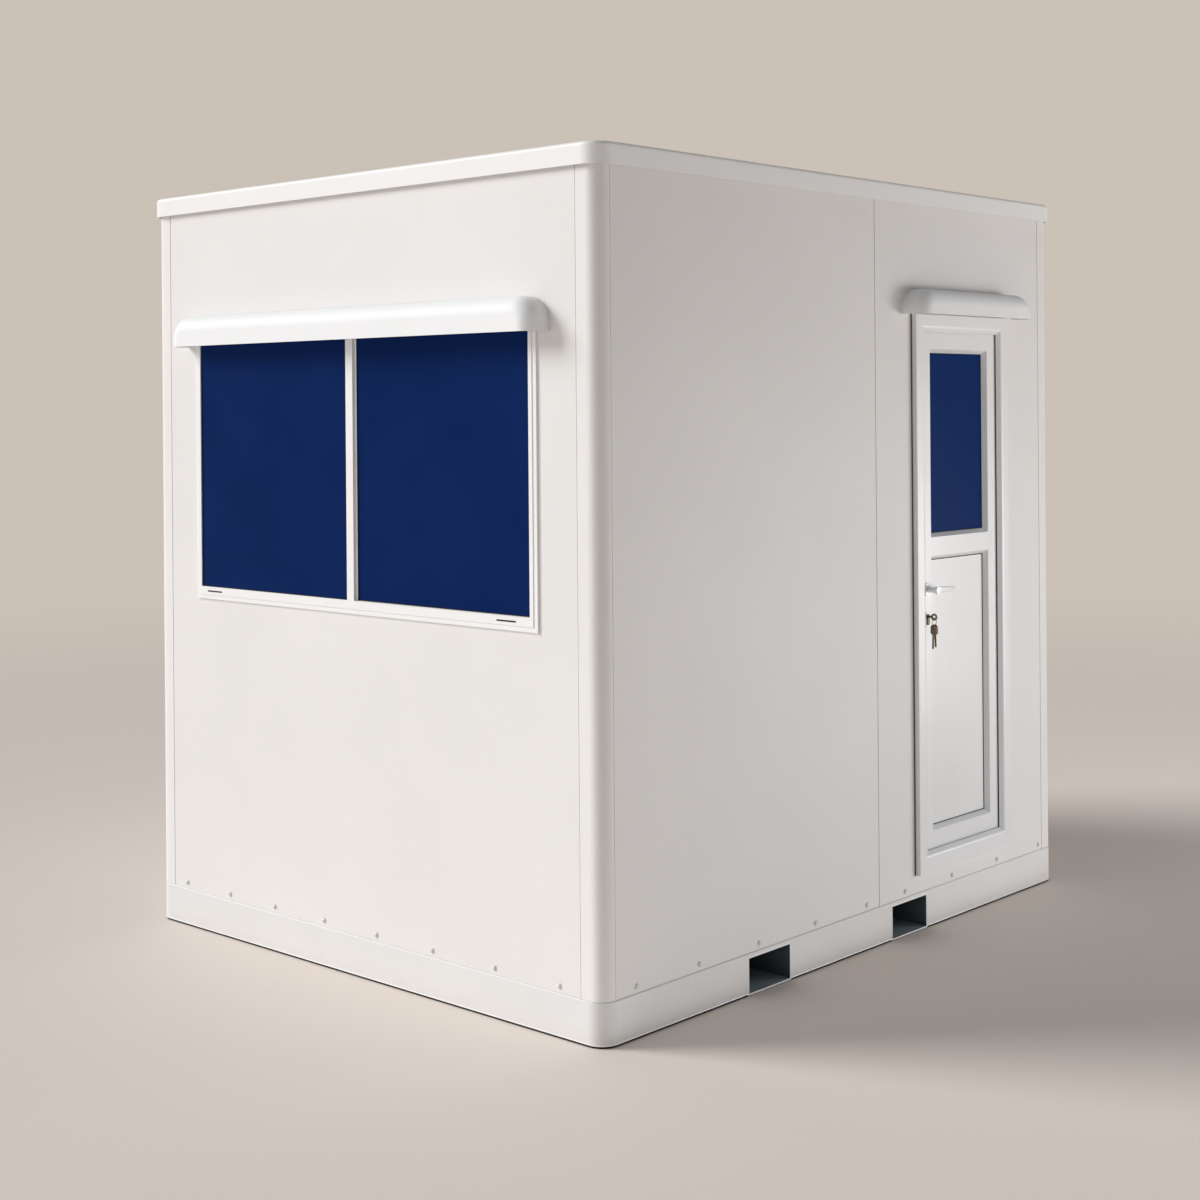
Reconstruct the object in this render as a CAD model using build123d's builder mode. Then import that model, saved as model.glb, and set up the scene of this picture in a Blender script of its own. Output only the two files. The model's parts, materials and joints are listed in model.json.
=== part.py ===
"""A small prefabricated guard cabin: steel base with fork pockets, sandwich walls, window and door.

Millimetres, +Z up. The origin is on the ground at the centre of the wall footprint.
The window wall faces -Y, the door wall faces +X.
"""
import os

from build123d import *

# Cabin
cabin_width = 2100
cabin_length = 2500
cabin_height = 2520
wall_thickness = 50
panel_joint = 1
panel_seam_y = 101
groove_width = 4
groove_depth = 6

# Corner posts
post_radius = 45
post_flange = 86
short_flange = 52
near_groove_width = 2
near_groove_depth = 2

# Base
ground_gap = 6
base_top = 128
base_proud = 4
base_corner_radius = 58
base_edge_radius = 3.5
rail_flange = 45
rail_thickness = 4
corner_return = 120

# Fork pockets
pocket_width = 208
pocket_height = 108
pocket_wall = 4
pocket_floor_level = 7
front_pocket_y = -500
rear_pocket_y = 273

# Floor
joist_width = 80
joist_pitch = 1020
deck_thickness = 30

# Roof
roof_overhang = 15
roof_edge_height = 64
roof_sheet = 4
roof_corner_radius = 62
roof_edge_radius = 12
eaves_lap = 4

# Window
window_width = 1628
window_height = 912
window_sill_level = 1138
window_flange = 15
window_seat = 10
window_proud = 9
window_flange_proud = 6.5
window_lip = 3
side_lip = 14
sill_lip = 27
sash_thickness = 9
sash_running_gap = 0.5
track_pitch = 10
meeting_stile = 33
meeting_stile_shift = 7
meeting_overlap = 8
sash_engagement = 9
pane_thickness = 5
pane_setback = 2
pane_edge = 6
weep_length = 80
weep_height = 5
weep_level = 1165
weep_spacing = 1400
weep_shift = -11
weep_passage = 6

# Rain canopies
canopy_sheet = 3
canopy_end_radius = 75
canopy_front_radius = 50
window_canopy_half = 863
window_canopy_level = 1996
window_canopy_height = 102
window_canopy_depth = 84
door_canopy_half = 366
door_canopy_level = 2084
door_canopy_height = 86
door_canopy_depth = 92
door_canopy_shift = 8

# Door frame
door_centre_y = 617
door_lip_width = 480
door_sill_level = 262
door_lip_height = 1766
door_frame_face = 60
door_sill_apron = 12
door_frame_proud = 20
door_bevel = 14
door_moulding_radius = 14
door_lip_back = 5
door_frame_seat = 10
door_frame_edge = 3
door_rebate = 16

# Door leaf
leaf_gap = 10
leaf_depth = 70
leaf_flange = 20
leaf_flange_thickness = 15
stile_width = 53
top_rail = 58
mid_rail = 64
bottom_rail = 61
mid_rail_level = 1261
bead_width = 13
bead_depth = 18
infill_thickness = 24
infill_edge = 10

# Hinges
hinge_radius = 10
hinge_pin_radius = 4
hinge_pin_clearance = 0.1
hinge_knuckle = 42
hinge_knuckle_gap = 0.4
hinge_plate = 5
hinge_leaf_reach = 52
hinge_frame_reach = 48
hinge_clearance = 5
hinge_inset = 180
hinge_standoff = 2

# Handle and lock
handle_level = 1149
handle_backset = 31
handle_to_lock = 92
rose_width = 25
rose_height = 44
rose_thickness = 4
spindle_radius = 9
spindle_clearance = 0.2
lever_reach = 47
lever_length = 108
lever_height = 25
lever_thickness = 12
lever_tip_height = 11
lever_tip_thickness = 9
lever_edge = 4
plate_width = 25
plate_height = 50
plate_thickness = 3
cylinder_radius = 8.5
cylinder_tail_width = 10
cylinder_tail_drop = 24
cylinder_proud = 8
cylinder_clearance = 0.3

# Keys
key_thickness = 2.4
key_blade_height = 7
key_blade_length = 24
key_bow_radius = 12
key_bow_hole = 5
key_standoff = 8
key_clearance = 0.3
ring_radius = 13
ring_wire = 1.1
hanging_bow_width = 23
hanging_bow_height = 36
hanging_key_drop = 78
hanging_key_step = 6
hanging_key_spread = 3.4
hanging_key_fan = 3
hanging_hole = 3
hanging_rim = 2.5
hanging_clearance = 0.7
key_notch = 2
key_notch_pitch = 6
key_notches = 4

# Levels and faces that follow from the sizes above
wall_x = cabin_width / 2
wall_y = cabin_length / 2
inner_x = wall_x - wall_thickness
inner_y = wall_y - wall_thickness
eaves = cabin_height - roof_edge_height + eaves_lap
pocket_outer_width = pocket_width + 2 * pocket_wall
pocket_top = pocket_floor_level + pocket_height + pocket_wall
base_x = wall_x + base_proud
base_y = wall_y + base_proud
window_head_level = window_sill_level + window_height
door_head_level = door_sill_level + door_lip_height
door_near = door_centre_y - door_lip_width / 2
door_far = door_centre_y + door_lip_width / 2

os.makedirs("parts", exist_ok=True)


def save(piece, node):
    """Name a finished piece after its node and write it out."""
    piece.part.label = node
    export_step(piece.part, f"parts/{node}.step")


def fill(x, y, z, mode=Mode.ADD):
    """A box that fills three spans, each a low and a high value."""
    middle = [(low + high) / 2 for low, high in (x, y, z)]
    size = [high - low for low, high in (x, y, z)]
    with Locations(tuple(middle)):
        Box(*size, mode=mode)


def both(half):
    """A span of one size each side of the middle."""
    return (-half, half)


def around(centre, width):
    """A span of a given width about its centre."""
    return (centre - width / 2, centre + width / 2)


# Base: a C-section ring with rounded corners, cut into four rails
with BuildPart() as base_ring:
    with BuildSketch(Plane.XY.offset(ground_gap)):
        RectangleRounded(2 * base_x, 2 * base_y, base_corner_radius)
    extrude(amount=base_top - ground_gap)
    for level_face in (base_ring.faces().sort_by(Axis.Z)[0], base_ring.faces().sort_by(Axis.Z)[-1]):
        fillet(level_face.edges(), radius=base_edge_radius)
    with BuildSketch(Plane.XY.offset(ground_gap)):
        Rectangle(2 * (base_x - rail_flange), 2 * (base_y - rail_flange))
    extrude(amount=base_top - ground_gap, mode=Mode.SUBTRACT)
    with BuildSketch(Plane.XY.offset(ground_gap + rail_thickness)):
        RectangleRounded(
            2 * (base_x - rail_thickness),
            2 * (base_y - rail_thickness),
            base_corner_radius - rail_thickness,
        )
    extrude(amount=base_top - ground_gap - 2 * rail_thickness, mode=Mode.SUBTRACT)
    for pocket_y in (front_pocket_y, rear_pocket_y):
        fill(
            both(base_x),
            around(pocket_y, pocket_outer_width),
            (ground_gap, pocket_top),
            mode=Mode.SUBTRACT,
        )

rail_end = base_y - corner_return
rail_spans = {
    "base_front_rail": (both(base_x), (-base_y, -rail_end)),
    "base_back_rail": (both(base_x), (rail_end, base_y)),
    "base_door_rail": ((base_x - rail_flange, base_x), both(rail_end)),
    "base_left_rail": ((-base_x, rail_flange - base_x), both(rail_end)),
}
for node, (rail_x, rail_y) in rail_spans.items():
    with BuildPart() as rail:
        add(base_ring.part)
        fill(rail_x, rail_y, (ground_gap, base_top), mode=Mode.INTERSECT)
    save(rail, node)

# Fork pockets: rectangular tubes that run right through, flush with the rails
for node, pocket_y in (("fork_pocket_front", front_pocket_y), ("fork_pocket_rear", rear_pocket_y)):
    with BuildPart() as pocket:
        with BuildSketch(Plane.YZ.offset(-base_x)):
            with Locations((pocket_y, pocket_floor_level + pocket_height / 2)):
                Rectangle(pocket_outer_width, pocket_height + 2 * pocket_wall)
                Rectangle(pocket_width, pocket_height, mode=Mode.SUBTRACT)
        extrude(amount=2 * base_x)
    save(pocket, node)

# Joists: they carry the deck and stand on the ground
with BuildPart() as base_joists:
    for joist_y in (-joist_pitch, 0, joist_pitch):
        fill(both(base_x - rail_flange), around(joist_y, joist_width), (0, pocket_top))
save(base_joists, "base_joists")

# Floor deck between the walls
with BuildPart() as floor_deck:
    fill(both(inner_x), both(inner_y), (pocket_top, pocket_top + deck_thickness))
save(floor_deck, "floor_deck")

# Corner posts: an angle as thick as the wall, rounded outside, with a shadow groove along each wall
near_groove = (near_groove_width, near_groove_depth)
far_groove = (groove_width, groove_depth)
post_forms = {
    "corner_post_front": (1, -1, post_flange, short_flange, near_groove),
    "corner_post_door": (1, 1, post_flange, post_flange, far_groove),
    "corner_post_window": (-1, -1, post_flange, post_flange, far_groove),
    "corner_post_back": (-1, 1, post_flange, post_flange, far_groove),
}
for node, (side_x, side_y, leg_x, leg_y, (wide, deep)) in post_forms.items():
    with BuildPart() as post:
        with BuildSketch(Plane.XY.offset(base_top)) as post_section:
            with Locations((side_x * (wall_x - leg_x / 2), side_y * (wall_y - wall_thickness / 2))):
                Rectangle(leg_x, wall_thickness)
            with Locations((side_x * (wall_x - wall_thickness / 2), side_y * (wall_y - leg_y / 2))):
                Rectangle(wall_thickness, leg_y)
            with Locations((side_x * (wall_x - leg_x + wide / 2), side_y * wall_y)):
                Rectangle(wide, 2 * deep, mode=Mode.SUBTRACT)
            with Locations((side_x * wall_x, side_y * (wall_y - leg_y + wide / 2))):
                Rectangle(2 * deep, wide, mode=Mode.SUBTRACT)
            outer_corner = post_section.vertices().sort_by_distance(
                (side_x * wall_x, side_y * wall_y, base_top)
            )[0]
            fillet(outer_corner, radius=post_radius)
        extrude(amount=eaves - base_top)
    save(post, node)

# Walls: sandwich panels between the posts, split round the window and the doorway
front_y = (-wall_y, -inner_y)
door_x = (inner_x, wall_x)
wall_z = (base_top, eaves)
window_left = -window_width / 2 + window_seat
window_right = window_width / 2 - window_seat
window_low = window_sill_level + window_seat
window_high = window_head_level - window_seat
doorway_near = door_near - door_frame_face + door_frame_seat
doorway_far = door_far + door_frame_face - door_frame_seat
doorway_low = door_sill_level - door_frame_face - door_sill_apron + door_frame_seat
doorway_high = door_head_level + door_frame_face - door_frame_seat
seam_near = panel_seam_y - panel_joint / 2
seam_far = panel_seam_y + panel_joint / 2
post_x = wall_x - post_flange
post_y = wall_y - post_flange
near_post_y = short_flange - wall_y

wall_spans = {
    "front_wall_lower": (both(post_x), front_y, (base_top, window_low)),
    "front_wall_left": ((-post_x, window_left), front_y, (window_low, window_high)),
    "front_wall_right": ((window_right, post_x), front_y, (window_low, window_high)),
    "front_wall_upper": (both(post_x), front_y, (window_high, eaves)),
    "door_wall_front": (door_x, (near_post_y, seam_near), wall_z),
    "door_wall_latch_side": (door_x, (seam_far, doorway_near), wall_z),
    "door_wall_hinge_side": (door_x, (doorway_far, post_y), wall_z),
    "door_wall_over": (door_x, (doorway_near, doorway_far), (doorway_high, eaves)),
    "door_wall_under": (door_x, (doorway_near, doorway_far), (base_top, doorway_low)),
    "back_wall": (both(post_x), (inner_y, wall_y), wall_z),
}
seam_walls = ("door_wall_front", "door_wall_latch_side")
seam_groove_y = around(panel_seam_y, groove_width)
for node, spans in wall_spans.items():
    with BuildPart() as wall:
        fill(*spans)
        if node in seam_walls:
            fill((wall_x - groove_depth, wall_x), seam_groove_y, wall_z, mode=Mode.SUBTRACT)
    save(wall, node)

with BuildPart() as left_wall:
    fill((-wall_x, -inner_x), (-post_y, seam_near), wall_z)
    fill((-wall_x, -inner_x), (seam_far, post_y), wall_z)
    fill((-wall_x, groove_depth - wall_x), seam_groove_y, wall_z, mode=Mode.SUBTRACT)
save(left_wall, "left_wall")

# Roof: a sandwich panel on the walls under a tray with a rounded edge
with BuildPart() as roof_panel:
    with BuildSketch(Plane.XY.offset(eaves)):
        RectangleRounded(2 * wall_x, 2 * wall_y, post_radius)
    extrude(amount=cabin_height - roof_sheet - eaves)
save(roof_panel, "roof_panel")

roof_x = wall_x + roof_overhang
roof_y = wall_y + roof_overhang
with BuildPart() as roof_hollow:
    with BuildSketch(Plane.XY.offset(eaves - eaves_lap)):
        RectangleRounded(
            2 * (roof_x - roof_sheet),
            2 * (roof_y - roof_sheet),
            roof_corner_radius - roof_sheet,
        )
    extrude(amount=roof_edge_height - roof_sheet)
    fillet(roof_hollow.faces().sort_by(Axis.Z)[-1].edges(), radius=roof_edge_radius - roof_sheet)
with BuildPart() as roof_cap:
    with BuildSketch(Plane.XY.offset(eaves - eaves_lap)):
        RectangleRounded(2 * roof_x, 2 * roof_y, roof_corner_radius)
    extrude(amount=roof_edge_height)
    fillet(roof_cap.faces().sort_by(Axis.Z)[-1].edges(), radius=roof_edge_radius)
    add(roof_hollow.part, mode=Mode.SUBTRACT)
save(roof_cap, "roof_cap")

# Window frame: a flanged ring with a front lip that hides the edges of the sashes. Two weep slots drain
# the track
frame_front_y = -(wall_y + window_proud)
flange_front_y = -(wall_y + window_flange_proud)
with BuildPart() as window_frame:
    fill(both(window_width / 2), (flange_front_y, -wall_y), (window_sill_level, window_head_level))
    fill(
        both(window_width / 2 - window_flange),
        (frame_front_y, -wall_y),
        (window_sill_level + window_flange, window_head_level - window_flange),
    )
    fill((window_left, window_right), front_y, (window_low, window_high))
    lip_x = window_width / 2 - window_flange - side_lip
    lip_low = window_sill_level + window_flange + sill_lip
    lip_high = window_head_level - window_flange - sill_lip
    fill(both(lip_x), (frame_front_y, -inner_y), (lip_low, lip_high), mode=Mode.SUBTRACT)
    track_x = lip_x + sash_engagement
    track_y = (frame_front_y + window_lip, frame_front_y + window_lip + 2 * track_pitch)
    track_low = lip_low - sash_engagement
    track_high = lip_high + sash_engagement
    fill(both(track_x), track_y, (track_low, track_high), mode=Mode.SUBTRACT)
    weep_z = around(weep_level, weep_height)
    for side in (-1, 1):
        weep_x = around(weep_shift + side * weep_spacing / 2, weep_length)
        fill(weep_x, (frame_front_y, track_y[0] + weep_passage), weep_z, mode=Mode.SUBTRACT)
        fill(weep_x, (track_y[0], track_y[0] + weep_passage), (weep_z[0], track_low), mode=Mode.SUBTRACT)
save(window_frame, "window_frame")

# Sashes: the left one runs in the outer track, the right one behind it
stile_near = -meeting_stile_shift - meeting_stile / 2
stile_far = -meeting_stile_shift + meeting_stile / 2
sash_low = track_low + sash_running_gap
sash_high = track_high - sash_running_gap
sash_rail = sash_engagement - sash_running_gap
sash_outer = track_x - sash_running_gap
sashes = {
    "left": ((-sash_outer, stile_far), (-lip_x, stile_near), 0),
    "right": ((stile_near + meeting_overlap, sash_outer), (stile_far + meeting_overlap, lip_x), 1),
}
for side, (sash_x, pane_x, track) in sashes.items():
    sash_y = track_y[0] + sash_running_gap + track * track_pitch
    pane_y = (sash_y + pane_setback, sash_y + pane_setback + pane_thickness)
    pane_span_x = (pane_x[0] - pane_edge, pane_x[1] + pane_edge)
    pane_span_z = (lip_low - pane_edge, lip_high + pane_edge)
    with BuildPart() as sash:
        fill(sash_x, (sash_y, sash_y + sash_thickness), (sash_low, sash_high))
        fill(pane_x, (sash_y, sash_y + sash_thickness), (lip_low, lip_high), mode=Mode.SUBTRACT)
        fill(pane_span_x, pane_y, pane_span_z, mode=Mode.SUBTRACT)
    save(sash, f"window_sash_{side}")
    with BuildPart() as pane:
        fill(pane_span_x, pane_y, pane_span_z)
    save(pane, f"window_glass_{side}")


def canopy_body(half, depth, height, inset):
    """A solid hood that lies along X and stands out along -Y from the XZ plane, level at the bottom."""
    with BuildPart() as body:
        with BuildSketch(Plane.XZ) as elevation:
            with Locations((0, (height - inset) / 2)):
                Rectangle(2 * (half - inset), height - inset)
            fillet(elevation.vertices().group_by(Axis.Y)[-1], radius=canopy_end_radius - inset)
        extrude(amount=depth - inset)
        front_edges = body.faces().sort_by(Axis.Y)[0].edges()
        bottom_edge = front_edges.sort_by(Axis.Z)[0]
        rounded = [edge for edge in front_edges if edge != bottom_edge]
        fillet(rounded, radius=canopy_front_radius - inset)
    return body.part


def canopy(node, place, half, depth, height):
    """A moulded hood, open below and against the wall, set at its place."""
    outer = canopy_body(half, depth, height, 0)
    inner = canopy_body(half, depth, height, canopy_sheet)
    with BuildPart() as hood:
        with Locations(place):
            add(outer)
            add(inner, mode=Mode.SUBTRACT)
    save(hood, node)


canopy(
    "window_canopy",
    Location((0, -wall_y, window_canopy_level)),
    window_canopy_half,
    window_canopy_depth,
    window_canopy_height,
)
canopy(
    "door_canopy",
    Location((wall_x, door_centre_y + door_canopy_shift, door_canopy_level), (0, 0, 90)),
    door_canopy_half,
    door_canopy_depth,
    door_canopy_height,
)

# Door frame: a ring with a bevelled lip outside and a rebate inside, mitred into four members
frame_near = door_near - door_frame_face
frame_far = door_far + door_frame_face
frame_low = door_sill_level - door_frame_face
frame_high = door_head_level + door_frame_face
frame_front_x = wall_x + door_frame_proud
lip_back_x = wall_x + door_lip_back
door_middle_z = (door_sill_level + door_head_level) / 2
with BuildPart() as door_ring:
    fill((wall_x, frame_front_x), (frame_near, frame_far), (frame_low - door_sill_apron, frame_high))
    fillet(door_ring.faces().sort_by(Axis.X)[-1].edges(), radius=door_frame_edge)
    fill(door_x, (doorway_near, doorway_far), (doorway_low, doorway_high))
    with BuildSketch(Plane.YZ.offset(lip_back_x)):
        with Locations((door_centre_y, door_middle_z)):
            Rectangle(door_lip_width, door_lip_height)
    with BuildSketch(Plane.YZ.offset(frame_front_x)):
        with Locations((door_centre_y, door_middle_z)):
            Rectangle(door_lip_width + 2 * door_bevel, door_lip_height + 2 * door_bevel)
    loft(mode=Mode.SUBTRACT)
    fill(
        (inner_x, lip_back_x),
        (door_near - door_rebate, door_far + door_rebate),
        (door_sill_level - door_rebate, door_head_level + door_rebate),
        mode=Mode.SUBTRACT,
    )

apron_low = frame_low - door_sill_apron
member_outlines = {
    "door_jamb_latch": (
        (frame_near, frame_low),
        (door_near, door_sill_level),
        (door_near, door_head_level),
        (frame_near, frame_high),
    ),
    "door_jamb_hinge": (
        (frame_far, frame_low),
        (frame_far, frame_high),
        (door_far, door_head_level),
        (door_far, door_sill_level),
    ),
    "door_head": (
        (frame_near, frame_high),
        (door_near, door_head_level),
        (door_far, door_head_level),
        (frame_far, frame_high),
    ),
    "door_threshold": (
        (frame_near, apron_low),
        (frame_far, apron_low),
        (frame_far, frame_low),
        (door_far, door_sill_level),
        (door_near, door_sill_level),
        (frame_near, frame_low),
    ),
}
moulding_middles = {
    "door_jamb_latch": (frame_front_x, door_near - door_bevel, door_middle_z),
    "door_jamb_hinge": (frame_front_x, door_far + door_bevel, door_middle_z),
    "door_head": (frame_front_x, door_centre_y, door_head_level + door_bevel),
    "door_threshold": (frame_front_x, door_centre_y, door_sill_level - door_bevel),
}
for node, outline in member_outlines.items():
    with BuildPart() as member:
        add(door_ring.part)
        with BuildSketch(Plane.YZ.offset(inner_x)):
            with BuildLine():
                Polyline(*outline, close=True)
            make_face()
        extrude(amount=frame_front_x - inner_x, mode=Mode.INTERSECT)
        moulding_edge = member.edges().sort_by_distance(moulding_middles[node])[0]
        fillet(moulding_edge, radius=door_moulding_radius)
    save(member, node)

# Door leaf: a welded sash with a flange inside that laps the frame
leaf_lap = door_rebate - leaf_gap
leaf_near = door_near - leaf_lap
leaf_far = door_far + leaf_lap
leaf_low = door_sill_level - leaf_lap
leaf_high = door_head_level + leaf_lap
leaf_back_x = wall_x - leaf_depth
flange_near = leaf_near - leaf_flange
flange_far = leaf_far + leaf_flange
light_y = (door_near + stile_width, door_far - stile_width)
upper_light_z = (mid_rail_level + mid_rail, door_head_level - top_rail)
lower_light_z = (door_sill_level + bottom_rail, mid_rail_level)
infill_front_x = wall_x - bead_depth
infill_x = (infill_front_x - infill_thickness, infill_front_x)


def grown(span, margin):
    """A span made longer by a margin at each end."""
    return (span[0] - margin, span[1] + margin)


with BuildPart() as door_leaf:
    fill((leaf_back_x, wall_x), (leaf_near, leaf_far), (leaf_low, leaf_high))
    fill(
        (leaf_back_x, leaf_back_x + leaf_flange_thickness),
        (flange_near, flange_far),
        (leaf_low - leaf_flange, leaf_high + leaf_flange),
    )
    for light_z in (upper_light_z, lower_light_z):
        width = light_y[1] - light_y[0]
        height = light_z[1] - light_z[0]
        middle = (sum(light_y) / 2, sum(light_z) / 2)
        for face_x, stop_x in ((wall_x, infill_x[1]), (leaf_back_x, infill_x[0])):
            with BuildSketch(Plane.YZ.offset(face_x)):
                with Locations(middle):
                    Rectangle(width, height)
            with BuildSketch(Plane.YZ.offset(stop_x)):
                with Locations(middle):
                    Rectangle(width - 2 * bead_width, height - 2 * bead_width)
            loft(mode=Mode.SUBTRACT)
        fill(
            infill_x,
            grown(light_y, infill_edge - bead_width),
            grown(light_z, infill_edge - bead_width),
            mode=Mode.SUBTRACT,
        )
    stile_y = leaf_near + handle_backset
    with BuildSketch(Plane.YZ.offset(leaf_back_x)):
        with Locations((stile_y, handle_level)):
            Circle(spindle_radius + spindle_clearance)
        with Locations((stile_y, handle_level - handle_to_lock)):
            Circle(cylinder_radius + cylinder_clearance)
        with Locations((stile_y, handle_level - handle_to_lock - cylinder_tail_drop / 2)):
            SlotCenterToCenter(
                cylinder_tail_drop,
                cylinder_tail_width + 2 * cylinder_clearance,
                rotation=90,
            )
    extrude(amount=leaf_depth, mode=Mode.SUBTRACT)
save(door_leaf, "door_leaf")

for node, light_z in (("door_glass", upper_light_z), ("door_panel", lower_light_z)):
    with BuildPart() as infill:
        fill(
            infill_x,
            grown(light_y, infill_edge - bead_width),
            grown(light_z, infill_edge - bead_width),
        )
    save(infill, node)

# Hinges: three pairs of flags inside, with the pin on the frame's flag
hinge_x = inner_x - hinge_radius - hinge_standoff
hinge_y = flange_far + hinge_clearance + hinge_radius
hinge_levels = (
    leaf_low + hinge_inset,
    (leaf_low + leaf_high) / 2,
    leaf_high - hinge_inset,
)
with BuildPart() as hinges_frame:
    for level in hinge_levels:
        with BuildSketch(Plane.XY.offset(level - hinge_knuckle)):
            with Locations((hinge_x, hinge_y)):
                Circle(hinge_radius)
            with Locations((inner_x - hinge_plate / 2, hinge_y + hinge_frame_reach / 2)):
                Rectangle(hinge_plate, hinge_frame_reach)
        extrude(amount=hinge_knuckle)
        with BuildSketch(Plane.XY.offset(level)):
            with Locations((hinge_x, hinge_y)):
                Circle(hinge_pin_radius)
        extrude(amount=hinge_knuckle)
save(hinges_frame, "hinges_frame")

with BuildPart() as hinges_leaf:
    for level in hinge_levels:
        with BuildSketch(Plane.XY.offset(level + hinge_knuckle_gap)):
            with Locations((hinge_x, hinge_y)):
                Circle(hinge_radius)
            with Locations((leaf_back_x - hinge_plate / 2, hinge_y - hinge_leaf_reach / 2)):
                Rectangle(hinge_plate, hinge_leaf_reach)
            with Locations((hinge_x, hinge_y)):
                Circle(hinge_pin_radius + hinge_pin_clearance, mode=Mode.SUBTRACT)
        extrude(amount=hinge_knuckle)
save(hinges_leaf, "hinges_leaf")

# Roses for the handle and the lock, one of each on both sides of the leaf
lock_level = handle_level - handle_to_lock
with BuildPart() as handle_roses:
    for face_x, out in ((wall_x, 1), (leaf_back_x, -1)):
        with BuildSketch(Plane.YZ.offset(face_x)):
            with Locations((stile_y, handle_level)):
                SlotOverall(rose_height, rose_width, rotation=90)
                Circle(spindle_radius + spindle_clearance, mode=Mode.SUBTRACT)
        extrude(amount=out * rose_thickness)
        with BuildSketch(Plane.YZ.offset(face_x)):
            with Locations((stile_y, lock_level - cylinder_tail_drop / 2)):
                SlotOverall(plate_height, plate_width, rotation=90)
                SlotCenterToCenter(
                    cylinder_tail_drop,
                    cylinder_tail_width + 2 * cylinder_clearance,
                    rotation=90,
                    mode=Mode.SUBTRACT,
                )
            with Locations((stile_y, lock_level)):
                Circle(cylinder_radius + cylinder_clearance, mode=Mode.SUBTRACT)
        extrude(amount=out * plate_thickness)
save(handle_roses, "handle_roses")

# Lever handle: one lever each side on a through spindle, pointing at the hinges
with BuildPart() as lever_handle:
    with BuildSketch(Plane.YZ.offset(leaf_back_x - lever_reach)):
        with Locations((stile_y, handle_level)):
            Circle(spindle_radius)
    extrude(amount=leaf_depth + 2 * lever_reach)
    for face_x, out in ((wall_x, 1), (leaf_back_x, -1)):
        lever_x = face_x + out * (lever_reach - lever_thickness / 2)
        with BuildSketch(Plane.YZ.offset(lever_x)):
            with Locations((stile_y, handle_level)):
                Circle(lever_height / 2)
        extrude(amount=lever_thickness / 2, both=True)
        with BuildSketch(Plane.XZ.offset(-stile_y)):
            with Locations((lever_x, handle_level)):
                RectangleRounded(lever_thickness, lever_height, lever_edge)
        with BuildSketch(Plane.XZ.offset(-stile_y - lever_length)):
            with Locations((lever_x, handle_level)):
                RectangleRounded(lever_tip_thickness, lever_tip_height, lever_edge)
        loft()
save(lever_handle, "lever_handle")

# Lock: a profile cylinder right through the leaf, with a slot for the key
with BuildPart() as door_lock:
    with BuildSketch(Plane.YZ.offset(leaf_back_x - cylinder_proud)):
        with Locations((stile_y, lock_level)):
            Circle(cylinder_radius)
        with Locations((stile_y, lock_level - cylinder_tail_drop / 2)):
            SlotCenterToCenter(cylinder_tail_drop, cylinder_tail_width, rotation=90)
    extrude(amount=leaf_depth + 2 * cylinder_proud)
    fill(
        (wall_x + cylinder_proud - key_blade_length, wall_x + cylinder_proud),
        around(stile_y, key_thickness + 2 * key_clearance),
        around(lock_level, key_blade_height + 2 * key_clearance),
        mode=Mode.SUBTRACT,
    )
save(door_lock, "door_lock")

# Keys: one in the lock, and a ring with two more that hangs from its bow
lock_face_x = wall_x + cylinder_proud
blade_tip_x = lock_face_x - key_blade_length + key_clearance
bow_x = lock_face_x + key_standoff + key_bow_radius
ring_top = lock_level - key_bow_hole + ring_wire + key_clearance
ring_level = ring_top - ring_radius
ring_drop = (ring_radius**2 - hanging_key_spread**2) ** 0.5
hanging_hole_level = ring_level - ring_drop + ring_wire + hanging_clearance - hanging_hole
bow_below_hole = hanging_bow_height / 2 - hanging_hole - hanging_rim
with BuildPart() as keys:
    with BuildSketch(Plane.XZ.offset(-stile_y)):
        with Locations(((blade_tip_x + bow_x) / 2, lock_level)):
            Rectangle(bow_x - blade_tip_x, key_blade_height)
        with Locations((bow_x, lock_level)):
            Circle(key_bow_radius)
            Circle(key_bow_hole, mode=Mode.SUBTRACT)
    extrude(amount=key_thickness / 2, both=True)
    with Locations(Location((bow_x, stile_y, ring_level), (0, 90, 0))):
        Torus(ring_radius, ring_wire)
    for side, drop in ((-1, hanging_key_drop), (1, hanging_key_drop - hanging_key_step)):
        hanging = Location((bow_x, hanging_hole_level, 0), (0, 0, side * hanging_key_fan))
        with BuildSketch(Plane.XZ.offset(-stile_y - side * hanging_key_spread)):
            with Locations(hanging):
                with Locations((0, -bow_below_hole)):
                    SlotOverall(hanging_bow_height, hanging_bow_width, rotation=90)
                with Locations((0, -drop / 2)):
                    Rectangle(key_blade_height, drop)
                for notch in range(key_notches):
                    notch_level = key_notch_pitch * (notch + 1) - drop
                    with Locations((side * key_blade_height / 2, notch_level)):
                        Rectangle(key_notch, key_notch, rotation=45, mode=Mode.SUBTRACT)
                Circle(hanging_hole, mode=Mode.SUBTRACT)
        extrude(amount=key_thickness / 2, both=True)
save(keys, "keys")
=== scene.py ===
"""Looks for a prefabricated guard cabin: finishes, rivets, seals, beads, floor, light and camera.

Metres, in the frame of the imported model: +Z up, the window wall faces -Y and the door wall faces +X.
"""
import json
import math

import bmesh
import bpy
from mathutils import Matrix, Vector

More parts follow.
